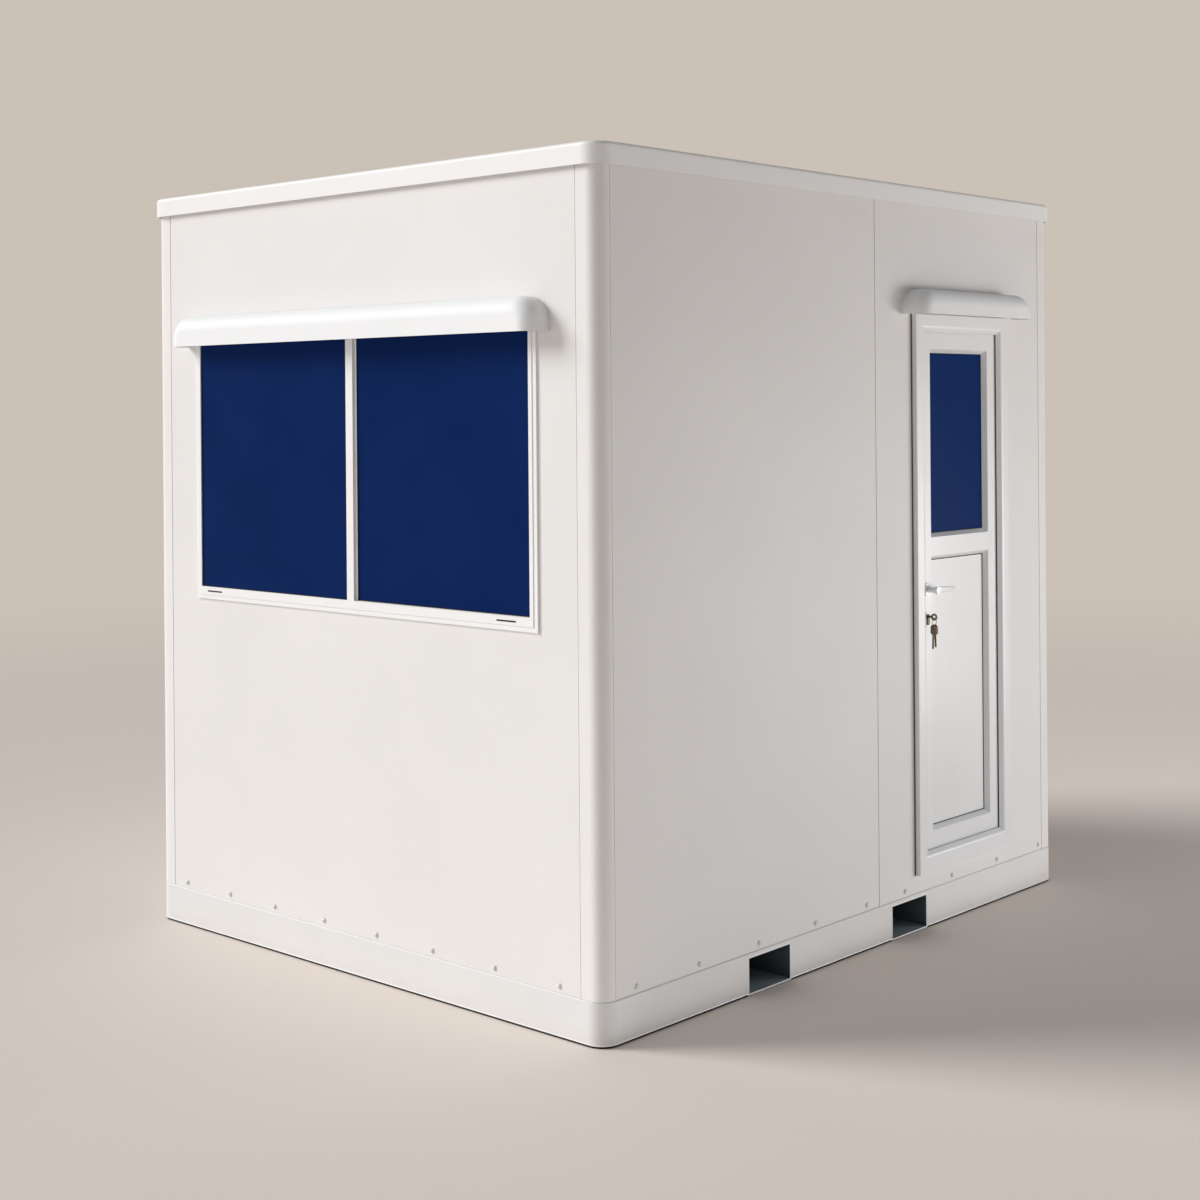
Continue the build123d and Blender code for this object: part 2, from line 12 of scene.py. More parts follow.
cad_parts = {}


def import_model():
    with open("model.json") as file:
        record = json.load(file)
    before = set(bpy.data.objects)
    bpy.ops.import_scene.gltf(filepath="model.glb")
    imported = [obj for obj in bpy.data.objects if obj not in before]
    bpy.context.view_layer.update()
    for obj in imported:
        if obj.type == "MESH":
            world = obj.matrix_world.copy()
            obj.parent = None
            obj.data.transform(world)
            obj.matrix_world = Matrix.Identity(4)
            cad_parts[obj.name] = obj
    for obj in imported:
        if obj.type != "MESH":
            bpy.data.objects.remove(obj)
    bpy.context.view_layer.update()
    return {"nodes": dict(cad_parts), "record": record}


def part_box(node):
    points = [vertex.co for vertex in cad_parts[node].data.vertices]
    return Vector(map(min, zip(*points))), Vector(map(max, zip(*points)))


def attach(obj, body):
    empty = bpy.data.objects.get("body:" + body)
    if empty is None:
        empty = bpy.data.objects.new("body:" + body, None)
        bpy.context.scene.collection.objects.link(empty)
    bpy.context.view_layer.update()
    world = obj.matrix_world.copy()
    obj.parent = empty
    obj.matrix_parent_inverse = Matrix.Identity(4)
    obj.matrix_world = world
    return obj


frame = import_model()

MM = 0.001
X_AXIS, Y_AXIS = 0, 1

# Camera, worked out from the cabin's straight edges in the photograph, in metres, degrees and pixels
PHOTO_PIXELS = 1200
CAMERA_PLACE = Vector((4.552, -5.083, 1.782))
CAMERA_HEADING = 42.38
CAMERA_ROLL = -0.45
CAMERA_FOCAL_PIXELS = 1880
CAMERA_HORIZON_PIXEL = 406.5
CAMERA_SENSOR_MM = 36
CAMERA_CLIP_END = 200

# Floor and background, with the radii between which the floor fades into the background
FLOOR_COLOUR = "ebe1d8"
FLOOR_HALF_WIDTH = 60.0
FLOOR_CLEAR_RADIUS = 3.2
FLOOR_FADE_RADIUS = 13.0
SKY_COLOUR = "cbc1b6"
AMBIENT_COLOUR = "f7f9ff"
AMBIENT_STRENGTH = 0.2

# Nearly all values of the noise pattern lie between these two
NOISE_RANGE = (0.3, 0.7)

# Dust on the base: its colour, the levels between which it thins out, and its share at the foot
DUST_COLOUR = "d3ccc2"
DUST_LEVELS = (10 * MM, 60 * MM)
DUST_SHARE = 0.3

# Fork pockets: where the paler floor ends (worn by the tines and partly painted light), its share of pale
# steel, and the depth of the spray on the ends
WORN_AND_LIT_FLOOR_LEVELS = (7.5 * MM, 9 * MM)
WORN_AND_LIT_FLOOR_SHARE = 0.85
SPRAY_DEPTHS = (1.5 * MM, 0.5 * MM)

# Rivets along the foot of each wall, in millimetres; the seen walls have them where the photograph does
RIVET_LEVEL = 148
WINDOW_WALL_RIVETS = (-893, -650, -409, -156, 98, 354, 621, 882)
BACK_WALL_RIVETS = (-889, -635, -381, -127, 127, 381, 635, 889)
DOOR_WALL_RIVETS = (-1110, -832, -547, -256, 29, 253, 547, 845, 1141)
LEFT_WALL_RIVETS = (-1110, -833, -555, -278, 0, 278, 555, 833, 1110)
RIVET_HEAD = 15 * MM
RIVET_HEIGHT = 5 * MM
RIVET_FLANGE = 18.5 * MM
RIVET_FLANGE_THICKNESS = 1 * MM

# Trim of the base, and the corner radii of the posts and the base ring that it follows
POST_CORNER = 45 * MM
BASE_CORNER = 58 * MM
CORNER_STEPS = 10
WALL_FOOT_JOINT = 1.4 * MM
HEM_RADIUS = 2.2 * MM
HEM_PROUD = 0.9 * MM
HEM_SIDES = 12
# The ground strip is a black strip in the gap under the base: painted shadow
GROUND_STRIP_SETBACK = 3 * MM
GROUND_STRIP_WIDTH = 14 * MM
POCKET_LIP_WIDTH = 5 * MM
POCKET_LIP_PROUD = 0.8 * MM
POCKET_LIP_SUNK = 1 * MM

# Drain slots in the sill, in millimetres: their ends, their levels and the depths behind the frame's face of
# the black linings that are painted shade in them
DRAINS = ((-751, -671), (649, 729))
DRAIN_LEVELS = (1162.6, 1167.4)
DRAIN_DEPTHS = (0.5, 2)

# Seals of the glass and the door, and the mastic round the door frame
GLAZING_SEAL = 3 * MM
GLAZING_SEAL_INSET = 6 * MM
GLAZING_SEAL_SETBACK = 0.4 * MM
PANEL_SEAL = 2.6 * MM
PANEL_SEAL_INSET = 10 * MM
PANEL_SEAL_PROUD = 1.6 * MM
WEATHER_SEAL = 5.2 * MM
WEATHER_SEAL_LAP = 6 * MM
WEATHER_SEAL_FROM_WALL = (0.6 * MM, 4.8 * MM)
FRAME_JOINT = 4 * MM
FRAME_JOINT_PROUD = 3 * MM
THIN_JOINT = 0.6 * FRAME_JOINT
THIN_JOINT_PROUD = 0.6 * FRAME_JOINT_PROUD

nodes = frame["nodes"]


def linear(hex_colour):
    """An sRGB hex colour as linear red, green, blue and alpha."""
    values = [int(hex_colour[i:i + 2], 16) / 255 for i in (0, 2, 4)]
    return [v / 12.92 if v <= 0.04045 else ((v + 0.055) / 1.055) ** 2.4 for v in values] + [1.0]


def add_node(tree, kind, settings=(), inputs=(), links=()):
    """A new node with its settings, its input values and its links, given as the output for each socket."""
    node = tree.nodes.new(kind)
    for name, value in dict(settings).items():
        setattr(node, name, value)
    for socket, value in dict(inputs).items():
        node.inputs[socket].default_value = value
    for socket, output in dict(links).items():
        tree.links.new(output, node.inputs[socket])
    return node


def start_finish(name, colour, roughness, metallic=0.0, ior=1.5, specular=0.5, coat=0.0, coat_roughness=0.1):
    """A material with its fixed values on the shader's own sockets. Returns it, its tree and the shader."""
    material = bpy.data.materials.new(name)
    material.use_nodes = True
    tree = material.node_tree
    shader = tree.nodes["Principled BSDF"]
    values = {
        "Base Color": linear(colour),
        "Roughness": roughness,
        "Metallic": metallic,
        "IOR": ior,
        "Specular IOR Level": specular,
        "Coat Weight": coat,
        "Coat Roughness": coat_roughness,
    }
    for socket, value in values.items():
        shader.inputs[socket].default_value = value
    return material, tree, shader


def patches(tree, size_mm, low=0.0, high=1.0, detail=3.0, stretch=(1, 1, 1)):
    """Soft patches about size_mm across, fixed to the object, as a value that wanders from low to high."""
    place = add_node(tree, "ShaderNodeTexCoord").outputs["Object"]
    mapped = add_node(tree, "ShaderNodeMapping", inputs={"Scale": stretch}, links={"Vector": place})
    noise = add_node(
        tree,
        "ShaderNodeTexNoise",
        inputs={"Scale": 1 / (size_mm * MM), "Detail": detail, "Roughness": 0.55},
        links={"Vector": mapped.outputs["Vector"]},
    )
    least, most = NOISE_RANGE
    wander = add_node(
        tree,
        "ShaderNodeMapRange",
        inputs={"From Min": least, "From Max": most, "To Min": low, "To Max": high},
        links={"Value": noise.outputs["Fac"]},
    )
    return wander.outputs["Result"]


def two_tone(tree, shader, colour, second, size_mm, detail=3.0, stretch=(1, 1, 1)):
    """Lets the colour wander between two tones in patches about size_mm across. Returns that colour."""
    mix = add_node(
        tree,
        "ShaderNodeMix",
        settings={"data_type": "RGBA"},
        inputs={6: linear(colour), 7: linear(second)},
        links={"Factor": patches(tree, size_mm, detail=detail, stretch=stretch)},
    )
    tree.links.new(mix.outputs[2], shader.inputs["Base Color"])
    return mix.outputs[2]


def uneven_gloss(tree, shader, size_mm, low, high, detail=3.0):
    """Lets the roughness wander from low to high in patches about size_mm across."""
    tree.links.new(patches(tree, size_mm, low, high, detail), shader.inputs["Roughness"])


def relief(tree, shader, size_mm, depth_mm, strength, detail=3.0, stretch=(1, 1, 1), over=None):
    """Presses patches about size_mm across into the surface, depth_mm deep, over another relief if there is
    one. Returns the relief."""
    bump = add_node(
        tree,
        "ShaderNodeBump",
        inputs={"Strength": strength, "Distance": depth_mm * MM},
        links={"Height": patches(tree, size_mm, detail=detail, stretch=stretch)},
    )
    if over is not None:
        tree.links.new(over, bump.inputs["Normal"])
    tree.links.new(bump.outputs["Normal"], shader.inputs["Normal"])
    return bump.outputs["Normal"]


def coil_coated_steel(name, colour, second):
    """Coil-coated steel skin of a sandwich panel: satin and flat, with the faintest waves over the foam and
    a fine orange peel that softens reflections."""
    material, tree, shader = start_finish(name, colour, 0.5, specular=0.35)
    two_tone(tree, shader, colour, second, 480, detail=2)
    uneven_gloss(tree, shader, 700, 0.49, 0.51, detail=1)
    waves = relief(tree, shader, 900, depth_mm=0.3, strength=0.1, detail=0, stretch=(1, 1, 0.5))
    relief(tree, shader, 6, depth_mm=0.02, strength=0.15, detail=1, over=waves)
    return material


def powder_coat(name, colour, second):
    """Powder-coated folded steel: satin, a touch tighter than the walls, with orange peel of about 3 mm, and
    a breath of floor dust low down."""
    material, tree, shader = start_finish(name, colour, 0.46, specular=0.4)
    clean = two_tone(tree, shader, colour, second, 300)
    place = add_node(tree, "ShaderNodeTexCoord").outputs["Object"]
    level = add_node(tree, "ShaderNodeSeparateXYZ", links={"Vector": place}).outputs["Z"]
    lowest, highest = DUST_LEVELS
    near_ground = add_node(
        tree,
        "ShaderNodeMapRange",
        inputs={"From Min": lowest, "From Max": highest, "To Min": DUST_SHARE, "To Max": 0.0},
        links={"Value": level},
    )
    dusty = add_node(
        tree,
        "ShaderNodeMath",
        settings={"operation": "MULTIPLY"},
        links={0: near_ground.outputs["Result"], 1: patches(tree, 70, 0.1, 1.0, detail=5)},
    )
    dusted = add_node(
        tree,
        "ShaderNodeMix",
        settings={"data_type": "RGBA"},
        inputs={7: linear(DUST_COLOUR)},
        links={"Factor": dusty.outputs["Value"], 6: clean},
    )
    tree.links.new(dusted.outputs[2], shader.inputs["Base Color"])
    relief(tree, shader, 3, depth_mm=0.03, strength=0.25, detail=2)
    return material


def extruded_profile(name, colour, second, roughness=0.3):
    """White rigid vinyl, in the extruded profiles and the skin of the door's infill: smooth and a little
    waxy, with gloss that drifts slightly and very shallow waves from the die."""
    material, tree, shader = start_finish(name, colour, roughness, ior=1.53, coat=0.2, coat_roughness=0.15)
    two_tone(tree, shader, colour, second, 200)
    uneven_gloss(tree, shader, 120, roughness - 0.02, roughness + 0.03, detail=2)
    relief(tree, shader, 60, depth_mm=0.04, strength=0.15, detail=1)
    return material


def moulded_hood():
    """Vacuum-formed hood with an acrylic face: cool white with no grain at all, a soft broad sheen on its
    rounded edges, and slightly duller patches where the sheet was stretched."""
    material, tree, shader = start_finish("formed_white_hood", "f2f4f5", 0.54, ior=1.49, specular=0.3)
    two_tone(tree, shader, "f4f5f6", "f1f3f4", 240)
    uneven_gloss(tree, shader, 160, 0.51, 0.57, detail=1)
    relief(tree, shader, 120, depth_mm=0.1, strength=0.1, detail=0)
    return material


def filmed_glass(name, colour, second):
    """Float glass with navy film behind it: one deep even blue that hides the room, and only a faint soft
    reflection."""
    material, tree, shader = start_finish(name, colour, 0.25, specular=0.01)
    two_tone(tree, shader, colour, second, 260, detail=2)
    relief(tree, shader, 320, depth_mm=0.2, strength=0.1, detail=1)
    return material


def dry_seal(name, colour, second):
    """A dry seal of rubber or mastic: matt, with a faint bloom and a finely pitted skin."""
    material, tree, shader = start_finish(name, colour, 0.72, specular=0.3)
    two_tone(tree, shader, colour, second, 40)
    relief(tree, shader, 1.5, depth_mm=0.03, strength=0.4, detail=2)
    return material


def pocket_steel():
    """Fork pocket in blue-grey primed steel: scuffed along its length by the tines, its floor paler, partly
    worn by them and partly painted light where light falls on the up-facing floor, with white coat on the
    cut ends that were sprayed with the base."""
    material, tree, shader = start_finish("primed_pocket_steel", "4a5358", 0.5)
    along_tines = (0.3, 1, 1)
    primed = two_tone(tree, shader, "485156", "5a656b", 60, detail=4, stretch=along_tines)
    place = add_node(tree, "ShaderNodeTexCoord").outputs["Object"]
    along = add_node(tree, "ShaderNodeSeparateXYZ", links={"Vector": place}).outputs
    lowest, highest = WORN_AND_LIT_FLOOR_LEVELS
    on_floor = add_node(
        tree,
        "ShaderNodeMapRange",
        inputs={"From Min": lowest, "From Max": highest, "To Min": WORN_AND_LIT_FLOOR_SHARE, "To Max": 0},
        links={"Value": along["Z"]},
    )
    # A paler floor: partly worn by the tines, partly painted light on the up-facing floor
    worn_and_lit_floor = add_node(
        tree,
        "ShaderNodeMix",
        settings={"data_type": "RGBA"},
        inputs={7: linear("a3b0b8")},
        links={"Factor": on_floor.outputs["Result"], 6: primed},
    )
    reach = add_node(tree, "ShaderNodeMath", settings={"operation": "ABSOLUTE"}, links={0: along["X"]})
    end_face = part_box("fork_pocket_front")[1].x
    inner, outer = [end_face - depth for depth in SPRAY_DEPTHS]
    sprayed = add_node(
        tree,
        "ShaderNodeMapRange",
        inputs={"From Min": inner, "From Max": outer, "To Min": 0, "To Max": 1},
        links={"Value": reach.outputs["Value"]},
    )
    coated = add_node(
        tree,
        "ShaderNodeMix",
        settings={"data_type": "RGBA"},
        inputs={7: linear("f4f3f1")},
        links={"Factor": sprayed.outputs["Result"], 6: worn_and_lit_floor.outputs[2]},
    )
    tree.links.new(coated.outputs[2], shader.inputs["Base Color"])
    uneven_gloss(tree, shader, 30, 0.42, 0.6, detail=4)
    relief(tree, shader, 60, depth_mm=0.1, strength=0.25, detail=4, stretch=along_tines)
    return material


def sprayed_primer():
    """Joists in dull grey primer, sprayed thin over mill scale."""
    material, tree, shader = start_finish("grey_steel_primer", "55585a", 0.62)
    two_tone(tree, shader, "4c4f51", "606365", 120, detail=4)
    relief(tree, shader, 2.5, depth_mm=0.05, strength=0.4, detail=2)
    return material


def film_faced_plywood():
    """Film-faced plywood deck: brown phenolic film with the long grain of the veneer just showing."""
    material, tree, shader = start_finish("film_faced_plywood", "6b5442", 0.45)
    along_grain = (1, 0.07, 1)
    two_tone(tree, shader, "5d4838", "7a614c", 14, detail=6, stretch=along_grain)
    uneven_gloss(tree, shader, 90, 0.38, 0.52)
    relief(tree, shader, 14, depth_mm=0.12, strength=0.3, detail=6, stretch=along_grain)
    return material


def worn_metal(name, colour, second, roughness, metallic=1.0):
    """Small hardware in plated or bare brass, dulled by hands, brighter where it rubs."""
    material, tree, shader = start_finish(name, colour, roughness, metallic=metallic)
    two_tone(tree, shader, colour, second, 6, detail=5)
    uneven_gloss(tree, shader, 5, roughness * 0.8, roughness * 1.25, detail=4)
    relief(tree, shader, 1, depth_mm=0.02, strength=0.4)
    return material


def hard_enamel(name, colour, second):
    """White enamel, stoved on the castings and sprayed on rivets and cut edges: hard and glossy, rounding
    every edge with a small highlight. On the base's hem and the pocket lips it is whiter than the base,
    partly a painted highlight."""
    material, tree, shader = start_finish(name, colour, 0.24, coat=0.4, coat_roughness=0.08)
    two_tone(tree, shader, colour, second, 30)
    relief(tree, shader, 2, depth_mm=0.01, strength=0.3, detail=2)
    return material


FINISHES = {
    "wall_panel": coil_coated_steel("coil_coated_wall_steel", "ebe9e7", "e8e6e4"),
    "post_paint": coil_coated_steel("coil_coated_post_steel", "eeecea", "ebe9e7"),
    "roof_paint": powder_coat("powder_coated_roof_tray", "f3f2f1", "f0efee"),
    "base_paint": powder_coat("powder_coated_base_steel", "e7e6e5", "e3e2e1"),
    "pocket_steel": pocket_steel(),
    "joist_steel": sprayed_primer(),
    "deck_board": film_faced_plywood(),
    "window_profile": extruded_profile("extruded_window_profile", "f7f7f7", "f4f4f4"),
    "window_pane": filmed_glass("navy_film_on_window_glass", "0f2658", "12295d"),
    "door_pane": filmed_glass("navy_film_on_door_glass", "112e66", "143168"),
    "canopy_moulding": moulded_hood(),
    "door_profile": extruded_profile("extruded_door_profile", "ecedee", "e9eaeb"),
    "door_infill": extruded_profile("door_infill_skin", "eaebeb", "e7e8e8", 0.34),
    "hinge_metal": hard_enamel("white_enamelled_hinge", "e8e8e8", "e3e3e3"),
    "handle_coat": hard_enamel("white_enamelled_handle", "eef0f2", "eaecee"),
    "lock_nickel": worn_metal("worn_nickel_plate", "6e6a64", "4b4844", 0.35),
    "key_bronze": worn_metal("dark_worn_brass", "9a8a74", "463d34", 0.34, metallic=0.8),
}
BLACK_RUBBER = dry_seal("black_epdm_rubber", "0b0c0d", "121314")
# Dark brown mastic: a joint, partly painted shade of the gap on the door's latch side
BROWN_MASTIC_AND_GAP_SHADE = dry_seal("brown_mastic_and_painted_gap_shade", "4a4038", "5a4f46")
GREY_MASTIC = dry_seal("grey_joint_mastic", "a5a5a6", "b4b4b5")
PALE_MASTIC = dry_seal("pale_joint_mastic", "cdccca", "d7d6d4")
# Whiter than the base paint: partly a painted highlight on the hem and the pocket lips
WHITE_EDGE_AND_PAINTED_HIGHLIGHT = hard_enamel("white_edge_with_painted_highlight", "fafafa", "f5f6f6")
RIVET_PAINT = hard_enamel("painted_rivet", "e2e1df", "d8d6d4")

for part in frame["record"]["subparts"]:
    mesh = nodes[part["node"]].data
    mesh.materials.clear()
    mesh.materials.append(FINISHES[part["material_slot"]])


def piece_from(name, build, material, body):
    """A piece whose faces build puts into a bmesh, in place, on the body that carries it."""
    shape = bmesh.new()
    build(shape)
    bmesh.ops.recalc_face_normals(shape, faces=shape.faces)
    mesh = bpy.data.meshes.new(name)
    shape.to_mesh(mesh)
    shape.free()
    mesh.materials.append(material)
    piece = bpy.data.objects.new(name, mesh)
    bpy.context.scene.collection.objects.link(piece)
    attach(piece, body)
    return piece


def strip(shape, low, high, ease=0.0):
    """A closed bar between two corners, its edges eased a little if asked."""
    made = bmesh.ops.create_cube(shape, size=1.0)["verts"]
    middle = (Vector(low) + Vector(high)) / 2
    size = Vector(high) - Vector(low)
    bmesh.ops.transform(shape, matrix=Matrix.Translation(middle) @ Matrix.Diagonal((*size, 1.0)), verts=made)
    if ease:
        edges = {edge for vert in made for edge in vert.link_edges}
        bmesh.ops.bevel(shape, geom=list(edges), offset=ease, segments=2, affect="EDGES", profile=0.5)


def frame_of_strips(shape, low, high, width, through, ease=0.0):
    """Four bars that frame a rectangle just inside two corners; through is the axis they are thin along."""
    across, up = [axis for axis in range(3) if axis != through]
    for axis, other in ((across, up), (up, across)):
        for side in (0, 1):
            bar_low = Vector(low)
            bar_high = Vector(high)
            if side:
                bar_low[axis] = high[axis] - width
            else:
                bar_high[axis] = low[axis] + width
            if axis == up:
                bar_low[other] += width
                bar_high[other] -= width
            strip(shape, bar_low, bar_high, ease)


def rounded_loop(half_x, half_y, radius):
    """Points round a rectangle with rounded corners, each with its outward direction."""
    loop = []
    for turn, (side_x, side_y) in enumerate(((1, 1), (-1, 1), (-1, -1), (1, -1))):
        for step in range(CORNER_STEPS + 1):
            angle = math.radians(90 * turn + 90 * step / CORNER_STEPS)
            out = Vector((math.cos(angle), math.sin(angle), 0))
            centre = Vector((side_x * (half_x - radius), side_y * (half_y - radius), 0))
            loop.append((centre + out * radius, out))
    return loop


def moulding(shape, path, section, closed=True):
    """Sweeps a section of (out, up) points along a path of (place, outward) pairs, as a ring or with two
    capped ends."""
    rings = []
    for place, out in path:
        rings.append([shape.verts.new(place + out * across + Vector((0, 0, up))) for across, up in section])
    pairs = list(zip(rings, rings[1:]))
    if closed:
        pairs.append((rings[-1], rings[0]))
    else:
        shape.faces.new(rings[0])
        shape.faces.new(rings[-1])
    for here, there in pairs:
        for side in range(len(section)):
            after = (side + 1) % len(section)
            shape.faces.new((here[side], here[after], there[after], there[side]))


def rivet_tree():
    """Geometry Nodes: a dome on a thin flange at each point, turned along the point's outward direction."""
    tree = bpy.data.node_groups.new("rivets_on_points", "GeometryNodeTree")
    face = tree.interface
    face.new_socket("Geometry", in_out="INPUT", socket_type="NodeSocketGeometry")
    for label in ("Head Diameter", "Head Height", "Flange Diameter", "Flange Thickness"):
        face.new_socket(label, in_out="INPUT", socket_type="NodeSocketFloat")
    face.new_socket("Paint", in_out="INPUT", socket_type="NodeSocketMaterial")
    face.new_socket("Geometry", in_out="OUTPUT", socket_type="NodeSocketGeometry")
    given = tree.nodes.new("NodeGroupInput").outputs
    halve = {"settings": {"operation": "MULTIPLY"}, "inputs": {1: 0.5}}
    flange_radius = add_node(tree, "ShaderNodeMath", links={0: given["Flange Diameter"]}, **halve)
    flange_middle = add_node(tree, "ShaderNodeMath", links={0: given["Flange Thickness"]}, **halve)
    head_radius = add_node(tree, "ShaderNodeMath", links={0: given["Head Diameter"]}, **halve)
    disc = add_node(
        tree,
        "GeometryNodeMeshCylinder",
        inputs={"Vertices": 24},
        links={"Radius": flange_radius.outputs[0], "Depth": given["Flange Thickness"]},
    )
    lift = add_node(tree, "ShaderNodeCombineXYZ", links={"Z": flange_middle.outputs[0]})
    flange = add_node(
        tree,
        "GeometryNodeTransform",
        links={"Geometry": disc.outputs["Mesh"], "Translation": lift.outputs[0]},
    )
    ball = add_node(tree, "GeometryNodeMeshUVSphere", inputs={"Segments": 24, "Rings": 12, "Radius": 1.0})
    size = add_node(
        tree,
        "ShaderNodeCombineXYZ",
        links={"X": head_radius.outputs[0], "Y": head_radius.outputs[0], "Z": given["Head Height"]},
    )
    on_flange = add_node(tree, "ShaderNodeCombineXYZ", links={"Z": given["Flange Thickness"]})
    dome = add_node(
        tree,
        "GeometryNodeTransform",
        links={
            "Geometry": ball.outputs["Mesh"],
            "Scale": size.outputs[0],
            "Translation": on_flange.outputs[0],
        },
    )
    smooth = add_node(tree, "GeometryNodeSetShadeSmooth", links={"Geometry": dome.outputs[0]})
    rivet = add_node(tree, "GeometryNodeJoinGeometry")
    tree.links.new(flange.outputs[0], rivet.inputs[0])
    tree.links.new(smooth.outputs[0], rivet.inputs[0])
    outward = add_node(
        tree,
        "GeometryNodeInputNamedAttribute",
        settings={"data_type": "FLOAT_VECTOR"},
        inputs={"Name": "outward"},
    )
    turned = add_node(
        tree,
        "FunctionNodeAlignRotationToVector",
        settings={"axis": "Z"},
        links={"Vector": outward.outputs["Attribute"]},
    )
    placed = add_node(
        tree,
        "GeometryNodeInstanceOnPoints",
        links={"Points": given["Geometry"], "Instance": rivet.outputs[0], "Rotation": turned.outputs[0]},
    )
    real = add_node(tree, "GeometryNodeRealizeInstances", links={"Geometry": placed.outputs[0]})
    painted = add_node(
        tree, "GeometryNodeSetMaterial", links={"Geometry": real.outputs[0], "Material": given["Paint"]}
    )
    out = tree.nodes.new("NodeGroupOutput")
    tree.links.new(painted.outputs[0], out.inputs[0])
    return tree


def rivets():
    """One row of painted dome rivets along the foot of each wall, all in one mesh."""
    wall_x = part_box("corner_post_front")[1].x
    wall_y = -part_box("corner_post_front")[0].y
    level = RIVET_LEVEL * MM
    rows = [((x * MM, -wall_y, level), (0, -1, 0)) for x in WINDOW_WALL_RIVETS]
    rows += [((x * MM, wall_y, level), (0, 1, 0)) for x in BACK_WALL_RIVETS]
    rows += [((wall_x, y * MM, level), (1, 0, 0)) for y in DOOR_WALL_RIVETS]
    rows += [((-wall_x, y * MM, level), (-1, 0, 0)) for y in LEFT_WALL_RIVETS]
    seeds = bpy.data.meshes.new("rivet_places")
    seeds.from_pydata([place for place, _ in rows], [], [])
    outward = seeds.attributes.new("outward", "FLOAT_VECTOR", "POINT")
    for index, (_, direction) in enumerate(rows):
        outward.data[index].vector = direction
    holder = bpy.data.objects.new("rivet_places", seeds)
    bpy.context.scene.collection.objects.link(holder)
    tree = rivet_tree()
    modifier = holder.modifiers.new("rivets", "NODES")
    modifier.node_group = tree
    values = {
        "Head Diameter": RIVET_HEAD,
        "Head Height": RIVET_HEIGHT,
        "Flange Diameter": RIVET_FLANGE,
        "Flange Thickness": RIVET_FLANGE_THICKNESS,
        "Paint": RIVET_PAINT,
    }
    for item in tree.interface.items_tree:
        if item.in_out == "INPUT" and item.name in values:
            modifier[item.identifier] = values[item.name]
    holder.update_tag()
    bpy.context.view_layer.update()
    graph = bpy.context.evaluated_depsgraph_get()
    mesh = bpy.data.meshes.new_from_object(holder.evaluated_get(graph), depsgraph=graph)
    piece = bpy.data.objects.new("wall_foot_rivets", mesh)
    bpy.context.scene.collection.objects.link(piece)
    bpy.data.objects.remove(holder)
    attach(piece, "cabin")


def base_trim():
    """The mastic joint at the walls' foot; the folded hem along the base's lower edge and the sprayed lips
    of the pocket mouths, whiter than the base and partly a painted highlight; and a black strip under the
    base, painted shadow filling the gap between base and floor."""
    post_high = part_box("corner_post_door")[1]
    rail_low, rail_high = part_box("base_front_rail")
    wall = (post_high.x, post_high.y, POST_CORNER)
    base = (rail_high.x, -rail_low.y, BASE_CORNER)
    pockets = [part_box(name) for name in ("fork_pocket_front", "fork_pocket_rear")]

    def foot_joint(shape):
        size = WALL_FOOT_JOINT
        rounded_bead = [(0, 0), (size, 0), (size * 0.8, size * 0.6), (size * 0.4, size), (0, size)]
        lift = Vector((0, 0, rail_high.z))
        path = [(place + lift, out) for place, out in rounded_loop(*wall)]
        moulding(shape, path, rounded_bead)

    piece_from("wall_foot_joint", foot_joint, PALE_MASTIC, "cabin")

    # The hem's whiter paint is partly a painted highlight along the base's lower edge
    def hem(shape):
        middle = HEM_PROUD - HEM_RADIUS
        section = []
        for step in range(HEM_SIDES):
            angle = math.radians(360 * step / HEM_SIDES)
            across = middle + math.cos(angle) * HEM_RADIUS
            section.append((across, rail_low.z + HEM_RADIUS * (1 + math.sin(angle))))
        around = rounded_loop(*base)
        right = Vector((1, 0, 0))
        near = pockets[0][0].y
        far = pockets[1][1].y
        front = [(Vector((-base[0], near, 0)), -right)]
        front += [point for point in around if point[0].y < near]
        front.append((Vector((base[0], near, 0)), right))
        back = [(Vector((base[0], far, 0)), right)]
        back += [point for point in around if point[0].y > far]
        back.append((Vector((-base[0], far, 0)), -right))
        moulding(shape, front, section, closed=False)
        moulding(shape, back, section, closed=False)
        for side in (-1, 1):
            ends = [Vector((side * base[0], y, 0)) for y in (pockets[0][1].y, pockets[1][0].y)]
            moulding(shape, [(place, right * side) for place in ends], section, closed=False)

    piece_from("base_lower_hem", hem, WHITE_EDGE_AND_PAINTED_HIGHLIGHT, "cabin")

    # The lips' whiter paint is partly a painted highlight round the pocket mouths
    def lips(shape):
        for low, high in pockets:
            for face in (low.x, high.x):
                inner = face - math.copysign(POCKET_LIP_SUNK, face)
                outer = face + math.copysign(POCKET_LIP_PROUD, face)
                frame_of_strips(
                    shape,
                    (min(inner, outer), low.y, low.z),
                    (max(inner, outer), high.y, high.z),
                    POCKET_LIP_WIDTH,
                    through=X_AXIS,
                    ease=0.4 * MM,
                )

    piece_from("pocket_mouth_lips", lips, WHITE_EDGE_AND_PAINTED_HIGHLIGHT, "cabin")

    # A black strip filling the gap between the base and the floor: painted shadow where that gap is in shade
    def gap_shadow_strip(shape):
        outer = -GROUND_STRIP_SETBACK
        inner = outer - GROUND_STRIP_WIDTH
        section = [(outer, 0), (outer, rail_low.z), (inner, rail_low.z), (inner, 0)]
        moulding(shape, rounded_loop(*base), section)

    piece_from("ground_gap_painted_shadow", gap_shadow_strip, BLACK_RUBBER, "cabin")


